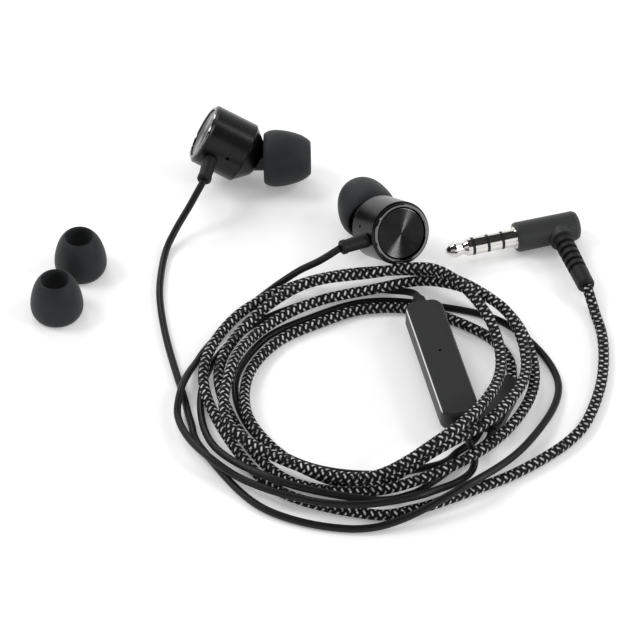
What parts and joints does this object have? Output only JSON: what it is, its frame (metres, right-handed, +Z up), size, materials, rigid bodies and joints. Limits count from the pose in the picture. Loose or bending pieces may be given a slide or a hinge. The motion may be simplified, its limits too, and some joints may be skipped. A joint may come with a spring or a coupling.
{
  "type": "wired earphones",
  "caption": "In-ear wired earphones: angled metal earbuds with silicone tips, braided cable wound in a coil, in-line remote, splitter, right-angle four-contact plug and spare tips.",
  "frame": {"origin": "on the surface the earphones lie on, under the middle of the box around the earbuds and spare ear tips", "axes": "+X to the right as the coil is seen from the front, +Y away from the viewer, +Z up from the surface"},
  "size_m": [0.1108, 0.1038, 0.0168],
  "materials": {
    "barrel": "satin",
    "bright_ring": "polished",
    "spun_disc": "brushed",
    "steel": "satin",
    "silicone": "matte",
    "boot_rubber": "matte",
    "shell_plastic": "matte",
    "button_plastic": "satin",
    "black_plastic": "matte",
    "contact": "polished",
    "band": "gloss",
    "copper": "satin",
    "film": "gloss",
    "board": "matte",
    "braid": "woven",
    "smooth_cable": "satin"
  },
  "bodies": {
    "earphones": {"left_housing": "barrel", "left_front_cover": "barrel", "left_nozzle_mesh": "steel", "left_bezel_ring": "bright_ring", "left_back_disc": "spun_disc", "left_driver_frame": "black_plastic", "left_driver_yoke": "steel", "left_driver_magnet": "steel", "left_driver_top_plate": "steel", "left_voice_coil": "copper", "left_diaphragm": "film", "left_terminal_board": "board", "left_strain_relief": "boot_rubber", "right_housing": "barrel", "right_front_cover": "barrel", "right_nozzle_mesh": "steel", "right_bezel_ring": "bright_ring", "right_back_disc": "spun_disc", "right_driver_frame": "black_plastic", "right_driver_yoke": "steel", "right_driver_magnet": "steel", "right_driver_top_plate": "steel", "right_voice_coil": "copper", "right_diaphragm": "film", "right_terminal_board": "board", "right_strain_relief": "boot_rubber", "remote_cover": "shell_plastic", "button_shell": "shell_plastic", "switch_plus": "steel", "switch_centre": "steel", "switch_minus": "steel", "remote_board": "board", "microphone": "steel", "remote_boot_upper": "boot_rubber", "remote_boot_lower": "boot_rubber", "plug_tip": "contact", "plug_ring_1": "contact", "plug_ring_2": "contact", "plug_sleeve": "contact", "plug_insulator_1": "band", "plug_insulator_2": "band", "plug_insulator_3": "band", "plug_moulding": "shell_plastic", "plug_strain_relief": "boot_rubber", "splitter_top": "shell_plastic", "splitter_bottom": "shell_plastic", "main_cord_lead": "braid", "main_cord_coil": "braid", "left_cord_lead": "smooth_cable", "left_cord_coil": "smooth_cable", "right_cord_lead": "smooth_cable", "right_cord_upper": "smooth_cable", "spare_tip_front": "silicone", "spare_tip_back": "silicone"},
    "left_ear_tip": {"left_ear_tip": "silicone"},
    "right_ear_tip": {"right_ear_tip": "silicone"},
    "button_plus": {"button_plus": "button_plastic"},
    "button_centre": {"button_centre": "button_plastic"},
    "button_minus": {"button_minus": "button_plastic"}
  },
  "joints": [
    {"name": "left_ear_tip_pull", "type": "slide", "parent": "earphones", "child": "left_ear_tip", "axis": [0.9998, 0.0016, 0.0185], "range_m": [0, 0.005]},
    {"name": "right_ear_tip_pull", "type": "slide", "parent": "earphones", "child": "right_ear_tip", "axis": [-0.2927, 0.9555, -0.037], "range_m": [0, 0.005]},
    {"name": "button_plus_press", "type": "slide", "parent": "earphones", "child": "button_plus", "axis": [0.0062, -0.0272, 0.9996], "range_m": [0, 0.0003], "stiffness_N_per_m": 2000},
    {"name": "button_centre_press", "type": "slide", "parent": "earphones", "child": "button_centre", "axis": [0.0062, -0.0272, 0.9996], "range_m": [0, 0.0003], "stiffness_N_per_m": 2000},
    {"name": "button_minus_press", "type": "slide", "parent": "earphones", "child": "button_minus", "axis": [0.0062, -0.0272, 0.9996], "range_m": [0, 0.0003], "stiffness_N_per_m": 2000}
  ]
}
